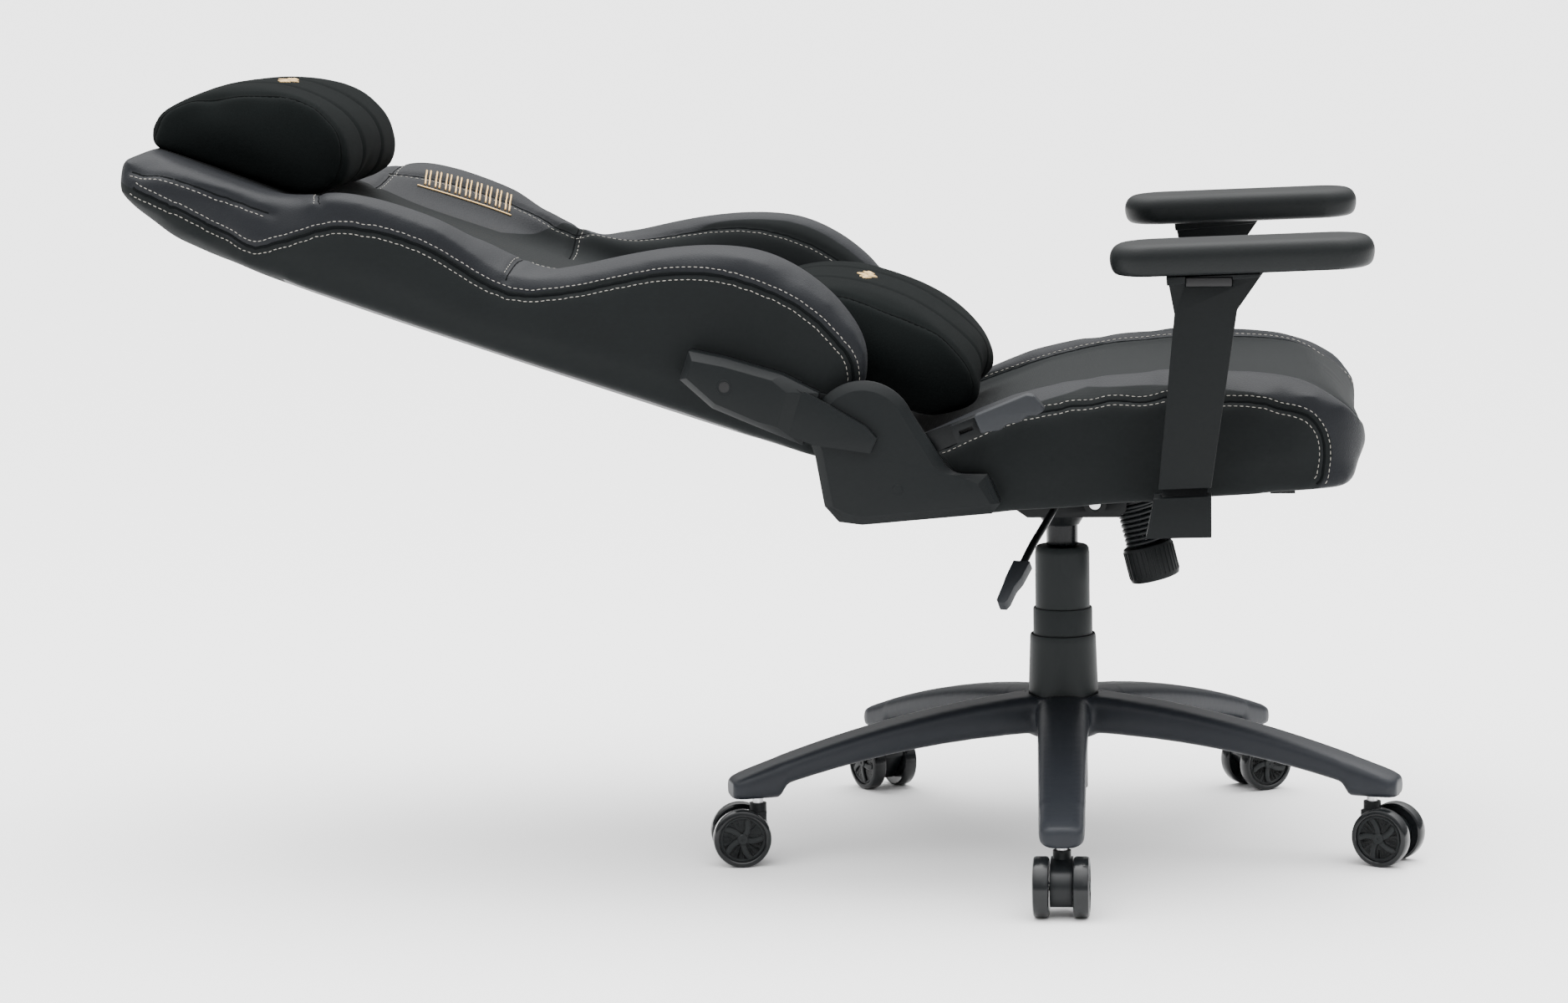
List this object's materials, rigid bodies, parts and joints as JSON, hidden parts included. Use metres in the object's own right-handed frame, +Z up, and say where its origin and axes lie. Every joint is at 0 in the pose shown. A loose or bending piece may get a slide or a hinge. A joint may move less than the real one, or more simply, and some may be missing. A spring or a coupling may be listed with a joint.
{
  "type": "gaming chair",
  "caption": "Racing-style gaming chair with a reclining winged back, head and lumbar pillows, height-adjustable arms and a five-star caster base.",
  "frame": {"origin": "on the floor under the centre line of the gas lift column", "axes": "+X the way the sitter faces, +Y the sitter's left, +Z up"},
  "size_m": [1.3138, 0.7459, 0.799],
  "materials": {
    "base_plastic": "satin",
    "cover_plastic": "satin",
    "arm_plastic": "satin",
    "pad_rubber": "matte",
    "wheel_plastic": "gloss",
    "caster_plastic": "gloss",
    "pin_steel": "satin",
    "black_steel": "satin",
    "gas_cylinder_black": "gloss",
    "bush_plastic": "satin",
    "lever_plastic": "satin",
    "cushion_foam": "matte",
    "velour": "matte",
    "faux_leather": "satin",
    "panel_fabric": "matte",
    "thread": "matte",
    "gold_thread": "satin"
  },
  "bodies": {
    "base": {"star_base": "base_plastic", "column_tube": "black_steel", "column_bush": "bush_plastic", "thrust_bearing": "pin_steel", "lower_cover": "cover_plastic"},
    "spindle": {"piston_rod": "pin_steel", "rod_clip": "pin_steel"},
    "lift": {"gas_cylinder": "gas_cylinder_black", "upper_cover": "cover_plastic", "mechanism_housing": "black_steel", "tilt_pin": "pin_steel"},
    "middle_cover": {"middle_cover": "cover_plastic"},
    "release_pin": {"release_pin": "pin_steel"},
    "lever_pivot": {"lever_bush": "bush_plastic"},
    "height_lever": {"height_lever": "black_steel", "height_lever_grip": "lever_plastic"},
    "seat": {"seat_plate": "black_steel", "seat_bolts": "pin_steel", "tension_bolt": "pin_steel", "tension_spring": "black_steel", "seat_frame": "black_steel", "seat_cushion": "cushion_foam", "recliner_plates": "black_steel", "hinge_pins": "pin_steel", "side_cover_right": "cover_plastic", "side_cover_left": "cover_plastic", "arm_brackets": "black_steel", "arm_socket_right": "arm_plastic", "arm_socket_left": "arm_plastic"},
    "tension_knob": {"tension_knob": "lever_plastic"},
    "recline_lever": {"recline_lever": "black_steel", "recline_lever_grip": "lever_plastic"},
    "back": {"back_arms": "black_steel", "back_frame": "black_steel", "back_cover_right": "cover_plastic", "back_cover_left": "cover_plastic", "back_cushion": "cushion_foam"},
    "lumbar_pillow": {"lumbar_pillow": "velour"},
    "head_pillow": {"head_pillow": "velour"},
    "arm_right": {"arm_sleeve_right": "arm_plastic", "arm_pad_right": "pad_rubber"},
    "arm_button_right": {"arm_button_right": "lever_plastic"},
    "arm_left": {"arm_sleeve_left": "arm_plastic", "arm_pad_left": "pad_rubber"},
    "arm_button_left": {"arm_button_left": "lever_plastic"},
    "caster_1": {"caster_1_body": "caster_plastic", "caster_1_pins": "pin_steel"},
    "wheels_1": {"caster_1_wheels": "wheel_plastic"},
    "caster_2": {"caster_2_body": "caster_plastic", "caster_2_pins": "pin_steel"},
    "wheels_2": {"caster_2_wheels": "wheel_plastic"},
    "caster_3": {"caster_3_body": "caster_plastic", "caster_3_pins": "pin_steel"},
    "wheels_3": {"caster_3_wheels": "wheel_plastic"},
    "caster_4": {"caster_4_body": "caster_plastic", "caster_4_pins": "pin_steel"},
    "wheels_4": {"caster_4_wheels": "wheel_plastic"},
    "caster_5": {"caster_5_body": "caster_plastic", "caster_5_pins": "pin_steel"},
    "wheels_5": {"caster_5_wheels": "wheel_plastic"}
  },
  "joints": [
    {"name": "caster_1_swivel", "type": "hinge", "parent": "base", "child": "caster_1", "pos_m": [0.00985, -0.33185, 0.06], "axis": [0, 0, 1], "continuous": true},
    {"name": "wheels_1_roll", "type": "hinge", "parent": "caster_1", "child": "wheels_1", "pos_m": [0.00985, -0.34985, 0.03], "axis": [1, 0, 0], "continuous": true},
    {"name": "caster_2_swivel", "type": "hinge", "parent": "base", "child": "caster_2", "pos_m": [0.31866, -0.09318, 0.06], "axis": [0, 0, 1], "continuous": true},
    {"name": "wheels_2_roll", "type": "hinge", "parent": "caster_2", "child": "wheels_2", "pos_m": [0.33497, -0.10079, 0.03], "axis": [0.4226, 0.9063, 0], "continuous": true},
    {"name": "caster_3_swivel", "type": "hinge", "parent": "base", "child": "caster_3", "pos_m": [0.18709, 0.27426, 0.06], "axis": [0, 0, 1], "continuous": true},
    {"name": "wheels_3_roll", "type": "hinge", "parent": "caster_3", "child": "wheels_3", "pos_m": [0.20236, 0.2838, 0.03], "axis": [-0.5299, 0.848, 0], "continuous": true},
    {"name": "caster_4_swivel", "type": "hinge", "parent": "base", "child": "caster_4", "pos_m": [-0.20303, 0.26269, 0.06], "axis": [0, 0, 1], "continuous": true},
    {"name": "wheels_4_roll", "type": "hinge", "parent": "caster_4", "child": "wheels_4", "pos_m": [-0.21335, 0.27743, 0.03], "axis": [-0.8192, -0.5736, 0], "continuous": true},
    {"name": "caster_5_swivel", "type": "hinge", "parent": "base", "child": "caster_5", "pos_m": [-0.31257, -0.11192, 0.06], "axis": [0, 0, 1], "continuous": true},
    {"name": "wheels_5_roll", "type": "hinge", "parent": "caster_5", "child": "wheels_5", "pos_m": [-0.33029, -0.11504, 0.03], "axis": [0.1736, -0.9848, 0], "continuous": true},
    {"name": "column_swivel", "type": "hinge", "parent": "base", "child": "spindle", "pos_m": [0, 0, 0.1], "axis": [0, 0, 1], "continuous": true},
    {"name": "seat_height", "type": "slide", "parent": "spindle", "child": "lift", "axis": [0, 0, 1], "range_m": [-0.06, 0.03]},
    {"name": "middle_cover_slide", "type": "slide", "parent": "base", "child": "middle_cover", "axis": [0, 0, 1], "range_m": [-0.035, 0.02]},
    {"name": "release_pin_press", "type": "slide", "parent": "lift", "child": "release_pin", "axis": [0, 0, 1], "range_m": [-0.004, 0]},
    {"name": "height_lever_lift", "type": "hinge", "parent": "lift", "child": "lever_pivot", "pos_m": [0, -0.038, 0.3723], "axis": [-1, 0, 0], "range_deg": [0, 4], "stiffness_Nm_per_rad": 12, "springref_deg": -8.59},
    {"name": "tilt_lock_pull", "type": "slide", "parent": "lever_pivot", "child": "height_lever", "axis": [0, -1, 0], "range_m": [0, 0.01]},
    {"name": "seat_tilt", "type": "hinge", "parent": "lift", "child": "seat", "pos_m": [0.036, 0, 0.365], "axis": [0, -1, 0], "range_deg": [0, 10], "stiffness_Nm_per_rad": 500, "springref_deg": -20.05, "deforming": ["tension_spring"]},
    {"name": "tension_knob_turn", "type": "hinge", "parent": "seat", "child": "tension_knob", "pos_m": [0.0883, 0, 0.3166], "axis": [-0.2402, 0, 0.9707], "continuous": true},
    {"name": "back_recline", "type": "hinge", "parent": "seat", "child": "back", "pos_m": [-0.18, 0, 0.47], "axis": [0, 1, 0], "range_deg": [0, 65]},
    {"name": "lumbar_pillow_rise", "type": "slide", "parent": "back", "child": "lumbar_pillow", "axis": [-0.9483, 0, 0.3173], "range_m": [0, 0.15]},
    {"name": "head_pillow_slide", "type": "slide", "parent": "back", "child": "head_pillow", "axis": [-0.9483, 0, 0.3173], "range_m": [-0.03, 0.02]},
    {"name": "recline_lever_lift", "type": "hinge", "parent": "seat", "child": "recline_lever", "pos_m": [-0.125, 0, 0.455], "axis": [0, -1, 0], "range_deg": [0, 20], "stiffness_Nm_per_rad": 1.5, "springref_deg": -17.19},
    {"name": "arm_height_right", "type": "slide", "parent": "seat", "child": "arm_right", "axis": [0.1201, 0, 0.9928], "range_m": [-0.007, 0.06]},
    {"name": "arm_button_right_press", "type": "slide", "parent": "arm_right", "child": "arm_button_right", "axis": [0, 1, 0], "range_m": [0, 0.004], "stiffness_N_per_m": 400, "springref_m": -0.002},
    {"name": "arm_height_left", "type": "slide", "parent": "seat", "child": "arm_left", "axis": [0.1201, 0, 0.9928], "range_m": [-0.007, 0.06]},
    {"name": "arm_button_left_press", "type": "slide", "parent": "arm_left", "child": "arm_button_left", "axis": [0, -1, 0], "range_m": [0, 0.004], "stiffness_N_per_m": 400, "springref_m": -0.002}
  ],
  "couplings": [
    {"joint": "middle_cover_slide", "follows": "seat_height", "ratio": 0.5},
    {"joint": "release_pin_press", "follows": "height_lever_lift", "m_per_rad": -0.038},
    {"joint": "lumbar_pillow_rise", "follows": "back_recline", "m_per_rad": 0.125}
  ]
}
